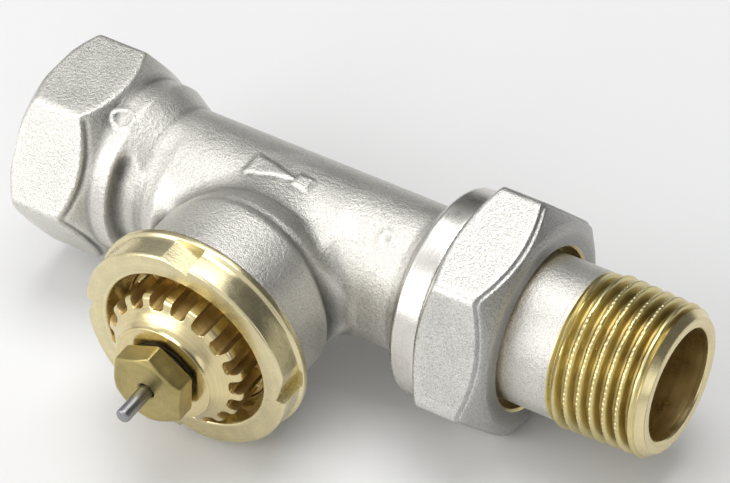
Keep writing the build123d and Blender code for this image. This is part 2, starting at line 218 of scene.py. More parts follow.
def cut(piece, tool, operation="DIFFERENCE"):
    """One boolean between two closed meshes. The tool is removed."""
    step = piece.modifiers.new("cut", "BOOLEAN")
    step.operation = operation
    step.object = tool
    step.solver = "MANIFOLD"
    apply_modifiers(piece)
    bpy.data.objects.remove(tool)


def apply_modifiers(piece):
    depsgraph = bpy.context.evaluated_depsgraph_get()
    mesh = bpy.data.meshes.new_from_object(piece.evaluated_get(depsgraph))
    piece.modifiers.clear()
    piece.data = mesh


# ---------------------------------------------------------------- distance fields


class Field:
    """A box of sample points, in mm, and the mesh of where a distance field on it is zero."""

    def __init__(self, low_corner, high_corner, step):
        self.step = step
        self.low = np.array(low_corner, float)
        axes = [
            np.arange(a, b + step, step, dtype=np.float32) for a, b in zip(low_corner, high_corner)
        ]
        self.x, self.y, self.z = np.meshgrid(*axes, indexing="ij", sparse=True)
        self.shape = tuple(len(a) for a in axes)

    def mesh(self, name, distance):
        band = 3 * self.step
        grid = openvdb.FloatGrid(background=band)
        grid.copyFromArray(np.clip(distance, -band, band).astype(np.float32))
        places, _, quads = grid.convertToPolygons(isovalue=0.0, adaptivity=0.0)
        points = (places * self.step + self.low) * MM
        mesh = bpy.data.meshes.new(name)
        mesh.from_pydata(points.tolist(), [], quads.tolist())
        # The relief is kept for the blasted nickel, which uses it to paint shade into the hollows.
        relief = mesh.attributes.new("relief", "FLOAT", "POINT")
        relief.data.foreach_set("value", self.relief(distance, places).astype(np.float32))
        outward(mesh, 45)
        return mesh

    def relief(self, distance, places):
        """How the skin bends around each place: above zero on a ridge, below zero in a hollow."""
        bend = np.zeros(self.shape, np.float32)
        for reach_mm, weight in ((0.8, 0.8), (2.2, 0.38)):
            reach = max(1, round(reach_mm / self.step))
            around = sum(np.roll(distance, k, axis) for axis in range(3) for k in (-reach, reach))
            bend += weight * (around / 6 - distance) / (reach * self.step)
        base = np.clip(np.floor(places).astype(int), 0, np.array(self.shape) - 2)
        part = places - base
        value = np.zeros(len(places))
        for corner in np.ndindex(2, 2, 2):
            weight = np.prod(np.where(np.array(corner) == 1, part, 1 - part), axis=1)
            value += weight * bend[tuple((base + corner).T)]
        return value


def smooth_union(a, b, size):
    near = np.maximum(size - np.abs(a - b), 0) / size
    return np.minimum(a, b) - near * near * size / 4


def smooth_cut(a, b, size):
    """The part of a that is inside b."""
    near = np.maximum(size - np.abs(a - b), 0) / size
    return np.maximum(a, b) + near * near * size / 4


def outline_distance(u, v, outline):
    """Signed distance in a plane to a closed outline, negative inside."""
    best = None
    inside = np.zeros(np.broadcast(u, v).shape, bool)
    count = len(outline)
    for i in range(count):
        (ax, ay), (bx, by) = outline[i], outline[(i + 1) % count]
        ex, ey = bx - ax, by - ay
        px, py = u - ax, v - ay
        t = np.clip((px * ex + py * ey) / (ex * ex + ey * ey), 0, 1)
        d = (px - ex * t) ** 2 + (py - ey * t) ** 2
        best = d if best is None else np.minimum(best, d)
        if ay != by:
            crosses = ((ay > v) != (by > v)) & (u < ex * (v - ay) / ey + ax)
            inside = inside ^ crosses
    return np.where(inside, -1, 1) * np.sqrt(best)


def turned_distance(along, radius, outline):
    """Distance to a turned solid. The outline's (along, radius) points close below the axis."""
    first, last = outline[0], outline[-1]
    closed = list(outline) + [(last[0], -5.0), (first[0], -5.0)]
    return outline_distance(along, radius, closed)


def hexagon_distance(across, up, flats, turn, round_size=0.6):
    """Distance to an endless hexagonal prism with softly rounded corners."""
    best = None
    for k in range(6):
        angle = turn + math.radians(30 + 60 * k)
        d = across * math.cos(angle) + up * math.sin(angle) - flats / 2
        best = d if best is None else smooth_cut(best, d, round_size)
    return best


# ---------------------------------------------------------------- threads


def thread_wave(phase):
    """Depth of a Whitworth thread from 0 at the crest to 1 at the root, for a phase of 0 to 1."""
    distance = np.abs((phase % 1.0) - 0.5) * 2
    return 0.5 - 0.5 * np.cos(math.pi * np.clip((distance - 0.14) / 0.72, 0, 1))


def thread_depth(along, turn, start, run_in, end, run_out):
    """Depth of a right-hand thread about the flow axis, with a run in and a run out, in mm."""
    depth = thread_wave(along / PITCH + turn / (2 * math.pi)) * THREAD_DEPTH
    ramp = np.clip((along - start) / run_in, 0, 1) * np.clip((end - along) / run_out, 0, 1)
    return depth * ramp


# ---------------------------------------------------------------- material helpers


def new_material(name):
    material = bpy.data.materials.new(name)
    material.use_nodes = True
    tree = material.node_tree
    return material, tree, tree.nodes["Principled BSDF"]


def node(tree, kind, **values):
    made = tree.nodes.new(kind)
    for key, value in values.items():
        if key in made.inputs:
            made.inputs[key].default_value = value
        else:
            setattr(made, key, value)
    return made


def noise(tree, scale, detail=2.0, rough=0.5, stretch=None):
    """A noise over the piece's own coordinates. The scale is in features per mm."""
    place = node(tree, "ShaderNodeTexCoord")
    mapping = node(tree, "ShaderNodeMapping")
    size = np.array(stretch or (1, 1, 1)) * scale / MM
    mapping.inputs["Scale"].default_value = size.tolist()
    texture = node(tree, "ShaderNodeTexNoise", Detail=detail, Roughness=rough)
    texture.inputs["Scale"].default_value = 1.0
    tree.links.new(place.outputs["Object"], mapping.inputs["Vector"])
    tree.links.new(mapping.outputs["Vector"], texture.inputs["Vector"])
    return texture.outputs["Fac"]


def ramp(tree, source, stops):
    """A colour ramp. Each stop is (place, colour or grey value)."""
    made = node(tree, "ShaderNodeValToRGB")
    elements = made.color_ramp.elements
    while len(elements) < len(stops):
        elements.new(0.5)
    for element, (place, value) in zip(elements, stops):
        element.position = place
        colour = (value, value, value) if isinstance(value, float) else value
        element.color = (*colour, 1)
    tree.links.new(source, made.inputs["Fac"])
    return made.outputs["Color"]


def mix_colour(tree, factor, a, b, blend="MIX"):
    made = node(tree, "ShaderNodeMix", data_type="RGBA", blend_type=blend)
    for socket, value in ((made.inputs[0], factor), (made.inputs[6], a), (made.inputs[7], b)):
        if isinstance(value, (int, float)):
            socket.default_value = value
        elif isinstance(value, tuple):
            socket.default_value = (*value, 1)
        else:
            tree.links.new(value, socket)
    return made.outputs[2]


def bump(tree, height, distance, strength=1.0, under=None):
    """A bump over another. The distance is in mm."""
    made = node(tree, "ShaderNodeBump", Strength=strength, Distance=distance * MM)
    tree.links.new(height, made.inputs["Height"])
    if under is not None:
        tree.links.new(under, made.inputs["Normal"])
    return made.outputs["Normal"]


def blasted_nickel(name, colour=(0.88, 0.86, 0.80), grain=5.5, depth=0.075, roughness=0.39):
    """Nickel plate over a sand-blasted surface: fine grain, cloudy tone, dark specks, and painted
    shade that darkens the hollows while ridges stay a little lighter.
    """
    material, tree, shader = new_material(name)
    fine = noise(tree, grain, 3.0, 0.6)
    cloud = noise(tree, 0.22, 3.0, 0.6)
    pits = noise(tree, grain, 2.0, 0.7)
    speck = ramp(tree, pits, [(0.3, 0.45), (0.46, 0.82), (0.6, 1.0)])
    tone = ramp(tree, cloud, [(0.3, tuple(c * 0.9 for c in colour)), (0.7, colour)])
    specked = mix_colour(tree, 0.8, tone, speck, "MULTIPLY")
    # Painted shade: the relief darkens the colour in hollows, creases and the pocket, where shade
    # falls, and leaves ridges a little lighter.
    skin = node(tree, "ShaderNodeAttribute", attribute_name="relief")
    scaled = node(tree, "ShaderNodeMath", operation="MULTIPLY_ADD")
    scaled.inputs[1].default_value, scaled.inputs[2].default_value = 2.0, 0.5
    tree.links.new(skin.outputs["Fac"], scaled.inputs[0])
    painted_hollow_shade = ramp(tree, scaled.outputs[0], [(0.14, 0.16), (0.36, 0.66), (0.47, 0.93), (0.7, 1.0)])
    tree.links.new(mix_colour(tree, 1.0, specked, painted_hollow_shade, "MULTIPLY"), shader.inputs["Base Color"])
    shader.inputs["Metallic"].default_value = 1.0
    tree.links.new(
        ramp(tree, cloud, [(0.3, roughness - 0.04), (0.7, roughness + 0.06)]),
        shader.inputs["Roughness"],
    )
    coarse = bump(tree, noise(tree, grain * 0.35, 2.0, 0.5), depth * 1.4, 0.7)
    tree.links.new(bump(tree, fine, depth, 1.0, coarse), shader.inputs["Normal"])
    return material


def turned_metal(
    name, colour, axis, centre_x=0.0, roughness=0.22, ring=3.2, depth=0.012, dark=0.8, hollow=None
):
    """Metal turned on a lathe about the flow ("x") or the spindle ("y") axis, with fine tool rings.

    hollow gives the radii in mm between which the painted shade in a thread's roots fades out
    towards its crests.
    """
    material, tree, shader = new_material(name)
    place = node(tree, "ShaderNodeTexCoord")
    split = node(tree, "ShaderNodeSeparateXYZ")
    tree.links.new(place.outputs["Object"], split.inputs["Vector"])
    side = node(tree, "ShaderNodeMath", operation="SUBTRACT")
    side.inputs[1].default_value = centre_x * MM
    tree.links.new(split.outputs["X"], side.inputs[0])
    joined = node(tree, "ShaderNodeCombineXYZ")
    off_axis = split.outputs["Y"] if axis == "x" else side.outputs[0]
    tree.links.new(off_axis, joined.inputs["X"])
    tree.links.new(split.outputs["Z"], joined.inputs["Y"])
    reach = node(tree, "ShaderNodeVectorMath", operation="LENGTH")
    tree.links.new(joined.outputs[0], reach.inputs[0])
    rings = node(tree, "ShaderNodeCombineXYZ")
    tree.links.new(split.outputs["X" if axis == "x" else "Y"], rings.inputs["X"])
    tree.links.new(reach.outputs["Value"], rings.inputs["Y"])
    scaled = node(tree, "ShaderNodeVectorMath", operation="SCALE")
    scaled.inputs["Scale"].default_value = ring / MM
    tree.links.new(rings.outputs[0], scaled.inputs[0])
    lines = node(tree, "ShaderNodeTexNoise", Detail=3.0, Roughness=0.65)
    lines.inputs["Scale"].default_value = 1.0
    tree.links.new(scaled.outputs[0], lines.inputs["Vector"])
    cloud = noise(tree, 0.35, 3.0, 0.6)
    tone = ramp(tree, cloud, [(0.35, tuple(c * dark for c in colour)), (0.65, colour)])
    streak = ramp(tree, lines.outputs["Fac"], [(0.3, 0.86), (0.65, 1.0)])
    streaked = mix_colour(tree, 0.8, tone, streak, "MULTIPLY")
    # Painted shade: the colour darkens towards a thread's roots, where shade falls between the
    # crests.
    if hollow:
        height = node(tree, "ShaderNodeMapRange")
        height.inputs["From Min"].default_value = hollow[0] * MM
        height.inputs["From Max"].default_value = hollow[1] * MM
        tree.links.new(reach.outputs["Value"], height.inputs["Value"])
        painted_root_shade = ramp(tree, height.outputs[0], [(0.0, (0.50, 0.44, 0.32)), (1.0, (1.0, 1.0, 1.0))])
        streaked = mix_colour(tree, 1.0, streaked, painted_root_shade, "MULTIPLY")
    tree.links.new(streaked, shader.inputs["Base Color"])
    shader.inputs["Metallic"].default_value = 1.0
    tree.links.new(
        ramp(tree, cloud, [(0.3, roughness - 0.05), (0.7, roughness + 0.08)]),
        shader.inputs["Roughness"],
    )
    fine = bump(tree, noise(tree, 6.0, 2.0, 0.5), depth * 0.6, 0.6)
    tree.links.new(bump(tree, lines.outputs["Fac"], depth, 1.0, fine), shader.inputs["Normal"])
    return material


def soft_material(name, colour, roughness, grain=4.0, depth=0.02):
    """Rubber or plastic with a fine moulded grain."""
    material, tree, shader = new_material(name)
    cloud = noise(tree, 0.5, 3.0, 0.6)
    tone = ramp(tree, cloud, [(0.3, tuple(c * 0.8 for c in colour)), (0.7, colour)])
    tree.links.new(tone, shader.inputs["Base Color"])
    tree.links.new(
        ramp(tree, cloud, [(0.3, roughness - 0.06), (0.7, roughness + 0.06)]),
        shader.inputs["Roughness"],
    )
    tree.links.new(bump(tree, noise(tree, grain, 2.0, 0.5), depth), shader.inputs["Normal"])
    return material


OLIVE_BRASS = (0.48, 0.39, 0.16)

nickel_cast = blasted_nickel("nickel_cast")
nickel_nut = blasted_nickel("nickel_nut", (0.76, 0.75, 0.71), 5.0, 0.06, 0.36)
# A darker nickel painted as shade on the union nut's end faces, which turn away from the light.
nickel_end_painted_shade = blasted_nickel("nickel_end_painted_shade", (0.56, 0.555, 0.535), 5.0, 0.06, 0.42)
nickel_shank = blasted_nickel("nickel_shank", (0.86, 0.84, 0.78), 6.0, 0.06, 0.42)
nickel_bore = turned_metal("nickel_bore", (0.50, 0.46, 0.37), "x", 0.0, 0.3)
nickel_turned = turned_metal("nickel_turned", (0.76, 0.74, 0.69), "x", 0.0, 0.26, 2.2, 0.03, 0.92)
brass_collar = turned_metal(
    "brass_collar", (0.80, 0.71, 0.44), "y", branch_x, 0.24, 3.0, 0.012, 0.9
)
brass_neck = turned_metal("brass_neck", (0.80, 0.68, 0.38), "y", branch_x, 0.22, 3.0, 0.012, 0.9)
# A darker, browner brass painted as the shade in the gaps between the bonnet's teeth.
brass_gap_painted_shade = turned_metal("brass_gap_painted_shade", (0.66, 0.49, 0.22), "y", branch_x, 0.4, 3.0, 0.012, 0.75)
brass_gland = turned_metal("brass_gland", OLIVE_BRASS, "y", branch_x, 0.3, 2.5, 0.015, 0.8)
# The thread's roots, between 9.3 and 10.2 mm from the axis, get painted shade.
brass_thread = turned_metal(
    "brass_thread", (0.80, 0.69, 0.35), "x", 0.0, 0.31, 3.0, 0.01, 0.85, (9.3, 10.2)
)
brass_bore = turned_metal("brass_bore", (0.95, 0.78, 0.42), "x", 0.0, 0.3, 1.4, 0.03, 0.97)
brass_mouth = turned_metal("brass_mouth", (0.84, 0.72, 0.42), "x", 0.0, 0.24, 2.4, 0.015, 0.94)
steel_pin = turned_metal("steel_pin", (0.36, 0.36, 0.37), "y", branch_x, 0.3, 4.0, 0.008, 0.85)
spring_steel = turned_metal(
    "spring_steel", (0.55, 0.55, 0.57), "y", branch_x, 0.28, 4.0, 0.006, 0.85
)
seal_rubber = soft_material("seal_rubber", (0.03, 0.03, 0.032), 0.5)
disc_rubber = soft_material("disc_rubber", (0.05, 0.05, 0.05), 0.55)
bush_plastic = soft_material("bush_plastic", (0.80, 0.79, 0.74), 0.42)


def paint_faces(piece, materials, choose):
    """Gives each face the material that choose(centre in mm, normal) names by number."""
    mesh = piece.data
    mesh.materials.clear()
    for material in materials:
        mesh.materials.append(material)
    count = len(mesh.polygons)
    centres = np.zeros(count * 3, np.float32)
    normals = np.zeros(count * 3, np.float32)
    mesh.polygons.foreach_get("center", centres)
    mesh.polygons.foreach_get("normal", normals)
    chosen = choose(centres.reshape(-1, 3).astype(float) / MM, normals.reshape(-1, 3))
    mesh.polygons.foreach_set("material_index", chosen.astype(np.int32))
    mesh.update()


# ---------------------------------------------------------------- forged body


def forged_skin():
    """The forging's outer skin: hexagon, socket collar, barrel, branch and the raised marks."""
    step = 0.27
    field = Field((-1.5, -spigot_top - 1.5, -15.5), (body_end - 4.0, 15.8, 15.5), step)
    x, y, z = field.x, field.y, field.z
    reach = np.sqrt(y * y + z * z)
    across = np.sqrt((x - branch_x) ** 2 + z * z)
    height = -y
    corner_r = HEX_FLATS / math.sqrt(3)

    hexagon = hexagon_distance(-y, z, HEX_FLATS, 0.0, 0.5)
    cap = turned_distance(
        x,
        reach,
        [
            (0.0, 0.0),
            (0.0, HEX_FLATS / 2 + 0.15),
            (1.7, corner_r + 0.3),
            (HEX_LENGTH - 1.9, corner_r + 0.3),
            (HEX_LENGTH + 0.9, HEX_FLATS / 2 - 0.9),
            (HEX_LENGTH + 1.4, 0.0),
        ],
    )
    groove = np.sqrt((hexagon + 0.45) ** 2 + (cap - 0.05) ** 2) - 0.38
    above_near_side = z * math.cos(NEAR_SIDE_TURN) + y * math.sin(NEAR_SIDE_TURN)
    groove = smooth_cut(groove, above_near_side - 0.4, 0.8)
    groove = np.maximum(groove, 5.0 - x)
    hexagon = smooth_cut(smooth_cut(hexagon, cap, 0.3), -groove, 0.2)
    barrel = turned_distance(
        x,
        reach,
        [
            (4.0, 0.0),
            (4.0, SOCKET_COLLAR_R - 0.4),
            (HEX_LENGTH + 0.4, SOCKET_COLLAR_R - 0.3),
            (HEX_LENGTH + 1.4, SOCKET_COLLAR_R),
            (SOCKET_COLLAR_END, SOCKET_COLLAR_R),
            (TAPER_END, BARREL_R),
            (body_end - 8.3, BARREL_R),
            (body_end - 7.2, BARREL_R + 0.35),
            (body_end - 6.3, BARREL_R + 1.2),
            (body_end - 5.7, BARREL_R + 2.3),
            (body_end - 5.3, BARREL_R + 2.4),
            (body_end - 5.2, 0.0),
        ],
    )
    body = smooth_union(hexagon, barrel, 0.7)
    # A shallow pocket in front of the socket collar, then the chamber swells towards the branch
    pocket_end = branch_x - 18.0
    middle = (SOCKET_COLLAR_END + pocket_end) / 2
    half = (pocket_end - SOCKET_COLLAR_END) / 2
    pocket = smooth_cut(np.abs(x - middle) - half, BARREL_R - 0.05 - reach, 1.3)
    pocket = smooth_cut(pocket, above_near_side + 0.3 * (x - middle), 5.0)
    body = smooth_cut(body, -pocket, 0.3)
    swell_reach = np.sqrt((y + 1.75) ** 2 + z * z)
    swell = turned_distance(
        x,
        swell_reach,
        [
            (branch_x - 18.9, 0.0),
            (branch_x - 18.7, BARREL_R - 1.9),
            (branch_x - 17.6, BARREL_R - 1.1),
            (branch_x - 15.6, BARREL_R - 0.35),
            (branch_x - 13.6, BARREL_R - 0.25),
            (branch_x + 10.0, BARREL_R - 0.25),
            (branch_x + 15.5, BARREL_R - 1.9),
            (branch_x + 15.8, 0.0),
        ],
    )
    body = smooth_union(body, swell, 0.7)
    branch = turned_distance(
        height,
        across,
        [
            (-2.0, 0.0),
            (-2.0, 8.8),
            (3.0, 9.9),
            (6.4, 11.0),
            (9.2, 12.5),
            (11.0, BRANCH_R - 0.1),
            (12.5, BRANCH_R),
            (collar_back, BRANCH_R),
            (collar_back, 0.0),
        ],
    )
    body = smooth_union(body, branch, 2.2)
    # A rounded groove parts the branch's shoulder from the barrel and follows the saddle
    saddle = ((x - branch_x) / np.maximum(across, 1.0)) ** 2
    groove = np.sqrt((across - BRANCH_GROOVE_R) ** 2 + (height - 10.2 - 1.7 * saddle) ** 2) - 1.45
    body = smooth_cut(body, -groove, 0.45)
    spigot = np.maximum(across - SPIGOT_R, np.abs(height - spigot_top + 2) - 2)
    body = np.minimum(body, spigot)
    body = raised_marks(body, x, y, z)
    return field.mesh("valve_forging", body)


def raised_marks(body, x, y, z):
    """A plain flow arrow on top of the barrel and two small plain rings, about 0.2 mm proud."""
    turn = np.arctan2(z, -y)
    side = (turn - math.radians(83)) * BARREL_R
    along = x - branch_x + 5.5
    head = outline_distance(along, side, [(0, -1.75), (7.2, 0), (0, 1.75)])
    block = outline_distance(along, side, [(6.9, -1.0), (9.1, -1.0), (9.1, 1.0), (6.9, 1.0)])
    arrow = np.minimum(head, block)
    body = smooth_union(body, np.maximum(arrow, body - 0.24), 0.15)
    marks = ((13.0, 72, 1.45, SOCKET_COLLAR_R), (54.2, 68, 0.9, BARREL_R))
    for ring_x, degrees, ring_r, at_r in marks:
        side = (turn - math.radians(degrees)) * at_r
        ring = np.abs(np.sqrt((x - ring_x) ** 2 + side**2) - ring_r) - 0.18
        body = smooth_union(body, np.maximum(ring, body - 0.16), 0.12)
    return body


def thread_tap(name, major_r, start, end, run_in=0.6, run_out=1.4):
    """A threaded plug that cuts an internal thread, with a lead-in cone at its start."""
    rows = np.arange(start - 1.5, end + 1e-6, 0.11)
    turn = np.linspace(0, 2 * math.pi, 168, endpoint=False)
    along, turns = np.meshgrid(rows, turn, indexing="ij")
    depth = thread_wave(along / PITCH + turns / (2 * math.pi)) * THREAD_DEPTH
    fade = np.clip((end - along) / run_out, 0, 1)
    radius = major_r - THREAD_DEPTH + (THREAD_DEPTH - depth) * fade
    lead = major_r + 0.25 - np.maximum(along - start, -0.3)
    radius = np.maximum(radius, lead)
    mesh = lattice_mesh(name, on_flow(along, radius, turns), close_rows=False)
    return make_object(name, mesh)


def plug(name, outline, place, raw=True):
    """A turned plug from an outline of (along, radius) points, used to cut with."""
    mesh = lathe(name, outline, place, 128, close_rows=False, raw=raw)
    return make_object(name, mesh)


def half_duct(name, start, end, keep_above, limit):
    """A half-round duct beside the bridge. keep_above tells its side of the flow axis."""
    edge = math.acos(limit / DUCT_R)
    turn = np.linspace(-edge, edge, 40)
    across = DUCT_R * np.cos(turn) * (1 if keep_above else -1)
    ring = np.stack([-across, DUCT_R * np.sin(turn)], -1)
    rows = [np.column_stack([np.full(len(ring), at), ring]) for at in (start, end)]
    return make_object(name, lattice_mesh(name, np.array(rows), close_rows=False))


def forged_body():
    piece = make_object("valve_forging", forged_skin())
    thread_rows = np.arange(body_end - 5.3, body_end + 1e-6, 0.11)
    outer = [(body_end - 6.2, BARREL_R - 0.1), (body_end - 5.5, THREE_QUARTER_R - 1.2)]
    outer += [(at, THREE_QUARTER_R) for at in thread_rows]

    def union_thread(along, radius, turn):
        depth = thread_depth(along, turn, body_end - 5.6, 0.6, body_end + 4, 1.0)
        chamfer = THREE_QUARTER_R - 1.3 - (along - body_end)
        threaded = np.minimum(THREE_QUARTER_R - depth, np.maximum(chamfer, 1.0))
        return np.where(radius > THREE_QUARTER_R - 0.5, threaded, radius)

    mesh = lathe("union_thread", outer, on_flow, 200, union_thread, close_rows=False, raw=True)
    cut(piece, make_object("union_thread", mesh), "UNION")
    cut(piece, thread_tap("inlet_tap", HALF_INCH_R, 0.0, 14.0))
    inlet_end, outlet_start = branch_x - DUCT_END, branch_x + DUCT_END
    cut(piece, plug("inlet_bore", [(2.0, FLOW_R), (inlet_end, FLOW_R)], on_flow))
    bore = [(outlet_start, FLOW_R), (body_end + 1, FLOW_R)]
    cut(piece, plug("outlet_bore", bore, on_flow))
    below = BRIDGE_THICKNESS - BRIDGE_TOP
    cut(piece, half_duct("lower_duct", inlet_end - 0.5, branch_x + 6.3, False, below))
    cut(piece, half_duct("upper_duct", branch_x, outlet_start + 0.5, True, BRIDGE_TOP))
    chamber = [
        (BRIDGE_TOP, CHAMBER_R),
        (bonnet_back + 1.4, CHAMBER_R),
        (bonnet_back + 1.41, BONNET_BORE_R),
        (spigot_top + 1, BONNET_BORE_R),
    ]
    cut(piece, plug("chamber", chamber, on_spindle))
    lip = [(BRIDGE_TOP - 0.3, SEAT_BORE_R + 1.0), (BRIDGE_TOP + 0.6, SEAT_BORE_R + 0.7)]
    cut(piece, plug("seat_lip", lip, on_spindle), "UNION")
    cut(piece, plug("seat_bore", [(-1.6, SEAT_BORE_R), (3.0, SEAT_BORE_R)], on_spindle))
    outward(piece.data, 38)

    def choose(centre, normal):
        reach = np.hypot(centre[:, 1], centre[:, 2])
        across = np.hypot(centre[:, 0] - branch_x, centre[:, 2])
        in_branch = (-centre[:, 1] > 5) & (across < 10.6)
        inner = (reach < 9.9) & (-centre[:, 1] < 11) & ~((across > 10.6) & (-centre[:, 1] > 8))
        mouth = (centre[:, 0] < 14.5) & (reach < 10.75)
        thread = centre[:, 0] > body_end - 5.7
        # Painted shade: the spigot's top, seen between the bonnet's teeth, gets the darker brass.
        rim = (-centre[:, 1] > spigot_top - 1.5) & (across < 10.95)
        return np.where(rim, 2, np.where(inner | in_branch | mouth | thread, 1, 0))

    paint_faces(piece, [nickel_cast, nickel_bore, brass_gap_painted_shade], choose)
    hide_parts("valve_body")
    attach(piece, "valve")


# ---------------------------------------------------------------- union nut


def union_nut_shell():
    step = 0.18
    corner_r = NUT_FLATS / math.sqrt(3)
    field = Field((nut_start - 1, -18.2, -18.2), (nut_end + 1, 18.2, 18.2), step)
    x, y, z = field.x, field.y, field.z
    reach = np.sqrt(y * y + z * z)
    hex_start = nut_start + NUT_BAND_LENGTH
    hexagon = hexagon_distance(-y, z, NUT_FLATS, NUT_CORNER_TURN, 0.8)
    cap = turned_distance(
        x,
        reach,
        [
            (hex_start, 0.0),
            (hex_start, NUT_FLATS / 2 - 0.1),
            (hex_start + 1.5, corner_r + 0.2),
            (nut_end - 2.7, corner_r + 0.2),
            (nut_end - 0.4, NUT_FLATS / 2 - 0.7),
            (nut_end, NUT_FLATS / 2 - 1.5),
            (nut_end, 0.0),
        ],
    )
    groove = np.sqrt((hexagon + 0.12) ** 2 + (cap + 0.12) ** 2) - 0.26
    groove = np.maximum(groove, nut_end - 4.0 - x)
    nut = smooth_cut(smooth_cut(hexagon, cap, 0.3), -groove, 0.15)
    band = turned_distance(
        x,
        reach,
        [
            (nut_start, 0.0),
            (nut_start, NUT_BAND_R - 0.5),
            (nut_start + 0.5, NUT_BAND_R),
            (hex_start - 0.35, NUT_BAND_R),
            (hex_start - 0.3, NUT_BAND_R - 0.3),
            (hex_start + 0.3, NUT_BAND_R - 0.3),
            (hex_start + 0.3, 0.0),
        ],
    )
    nut = np.minimum(nut, band)
    piece = make_object("union_nut_shell", field.mesh("union_nut_shell", nut))
    shoulder = nut_end - NUT_END_WALL
    cut(piece, thread_tap("nut_tap", THREE_QUARTER_R + 0.1, nut_start, shoulder - 1.0))
    hole = [
        (shoulder - 1.6, THREE_QUARTER_R - THREAD_DEPTH + 0.05),
        (shoulder, THREE_QUARTER_R - THREAD_DEPTH + 0.05),
        (shoulder + 0.01, NUT_HOLE_R),
        (nut_end - 0.3, NUT_HOLE_R),
        (nut_end + 0.2, NUT_HOLE_R + 0.5),
        (nut_end + 1.0, NUT_HOLE_R + 0.5),
    ]
    cut(piece, plug("nut_hole", hole, on_flow))
    outward(piece.data, 38)

    def choose(centre, normal):
        reach = np.hypot(centre[:, 1], centre[:, 2])
        on_band = (centre[:, 0] < hex_start - 0.1) | (reach < NUT_BAND_R - 0.1) & (
            centre[:, 0] < hex_start + 0.5
        )
        hole_wall = (reach < NUT_HOLE_R + 0.25) & (centre[:, 0] > shoulder)
        inner = (reach < THREE_QUARTER_R + 0.15) & (centre[:, 0] < nut_end - 0.5)
        # Painted shade: faces turned towards +X near the nut's end get the darker nickel.
        end = (normal[:, 0] > 0.3) & (centre[:, 0] > nut_end - 3.0)
        outer = np.where(end, 3, 0)
        return np.where(hole_wall, 2, np.where(on_band | inner, 1, outer))

    paint_faces(piece, [nickel_nut, nickel_turned, brass_bore, nickel_end_painted_shade], choose)
    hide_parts("union_nut")
    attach(piece, "nut")


# ---------------------------------------------------------------- tailpiece


def tail_shell():
    thread_start = tail_end - TAIL_THREAD_LENGTH
    collar_end = nut_end - NUT_END_WALL - 0.03
    gauge_x = tail_end - GAUGE_LENGTH
    groove_end, groove_floor_r, groove_top_r = tail_start + 1.6, 8.9, 10.55
    groove = [(tail_start, groove_floor_r), (groove_end, groove_floor_r)]
    groove += [(groove_end, groove_top_r), (tail_start, groove_top_r)]
    front = [(tail_start, TAIL_BORE_R)] + groove + [(tail_start, tail_collar_r)]
    front += [(collar_end, tail_collar_r), (collar_end, SHANK_R), (thread_start - 0.7, SHANK_R)]
    points = rounded(front, 0.12).tolist()
    rows = np.arange(thread_start - 0.55, tail_end - 0.02, 0.1)
    points += [(at, HALF_INCH_R) for at in rows]
    mouth = [(tail_end, TAIL_MOUTH_R), (tail_end, TAIL_BORE_R + 0.3), (tail_end - 0.3, TAIL_BORE_R)]
    points += rounded(mouth, 0.1).tolist()
    points += [(at, TAIL_BORE_R) for at in (tail_end - 4.0, tail_end - 12.0, tail_start + 6)]

    def shape(along, radius, turn):
        crest = HALF_INCH_R - (along - gauge_x) * TAPER
        phase = along / PITCH + turn / (2 * math.pi)
        depth = thread_wave(phase) * THREAD_DEPTH * np.clip((tail_end - 0.9 - along) / 0.7, 0, 1)
        start_fade = np.clip((along - thread_start) / 1.1, 0, 1)
        body_r = crest - depth
        beside_crest = (phase % 1.0 > 0.36) & (phase % 1.0 < 0.53)
        middle = (along > tail_end - 11.0) & (along < tail_end - 3.0)
        notch = np.cos(turn * NOTCHES) > 0.4
        body_r = body_r - 0.09 * (beside_crest & middle & notch)
        root_r = crest - THREAD_DEPTH
        ramp_r = SHANK_R + (root_r - SHANK_R) * np.clip((along - thread_start) / 0.8, 0, 1)
        body_r = np.maximum(body_r * start_fade + ramp_r * (1 - start_fade), root_r)
        chamfer = TAIL_MOUTH_R + 0.05 + (tail_end - along) * 0.8
        return np.where(radius == HALF_INCH_R, np.minimum(body_r, chamfer), radius)

    mesh = lathe("tail_shell", points, on_flow, NOTCHES * 6, shape, raw=True)
    piece = make_object("tail_shell", mesh)

    def choose(centre, normal):
        reach = np.hypot(centre[:, 1], centre[:, 2])
        inside = (reach < TAIL_BORE_R + 0.2) & (centre[:, 0] < tail_end - 0.3)
        thread = centre[:, 0] > thread_start - 0.15
        mouth = centre[:, 0] > tail_end - 0.95
        return np.where(inside, 2, np.where(mouth, 3, np.where(thread, 1, 0)))

    paint_faces(piece, [nickel_shank, brass_thread, brass_bore, brass_mouth], choose)
    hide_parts("tailpiece")
    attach(piece, "tail")


# ---------------------------------------------------------------- head collar


